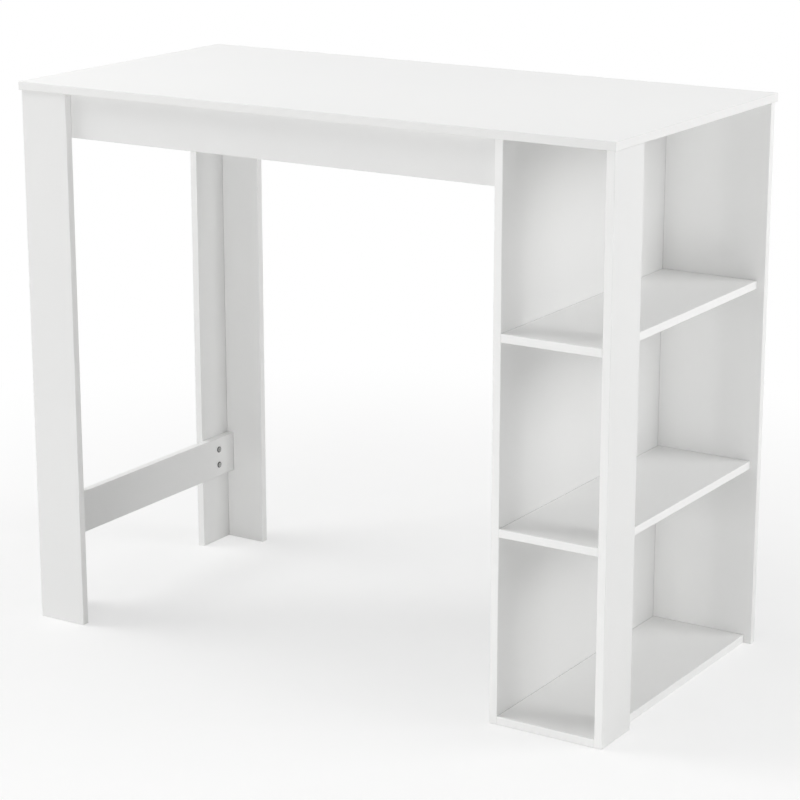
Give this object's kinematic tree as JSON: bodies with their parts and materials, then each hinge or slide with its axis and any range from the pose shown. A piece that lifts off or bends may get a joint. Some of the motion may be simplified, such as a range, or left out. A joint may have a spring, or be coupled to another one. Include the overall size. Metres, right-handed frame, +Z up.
{
  "type": "bar table with shelves",
  "caption": "White bar table with L-shaped board legs at one end, an open shelf tower at the other, aprons, a low foot rail and cam-lock joints.",
  "frame": {"origin": "on the floor under the middle of the top", "axes": "+X from the legs to the shelf tower, +Y from the front to the rear, +Z up"},
  "size_m": [1.2, 0.6, 1.01],
  "materials": {
    "white_board": "melamine-faced chipboard, satin white with matching banded edges",
    "zinc": "bright zinc die-casting",
    "plated_steel": "zinc-plated steel",
    "beech": "plain turned beech"
  },
  "bodies": {
    "root": {"table_top": "white_board", "front_left_leg_face": "white_board", "front_left_leg_side": "white_board", "rear_left_leg_face": "white_board", "rear_left_leg_side": "white_board", "foot_rail": "white_board", "front_apron": "white_board", "rear_apron": "white_board", "left_apron": "white_board", "tower_side_panel": "white_board", "tower_back_panel": "white_board", "tower_post": "white_board", "bottom_shelf": "white_board", "middle_shelf": "white_board", "upper_shelf": "white_board", "apron_cams": "zinc", "tower_cams": "zinc", "shelf_cams": "zinc", "apron_cam_bolts": "plated_steel", "tower_cam_bolts": "plated_steel", "shelf_cam_bolts": "plated_steel", "foot_rail_bolts": "plated_steel", "left_apron_bolts": "plated_steel", "insert_nuts": "plated_steel", "leg_dowels": "beech", "apron_dowels": "beech", "tower_dowels": "beech", "shelf_dowels": "beech"}
  },
  "joints": []
}
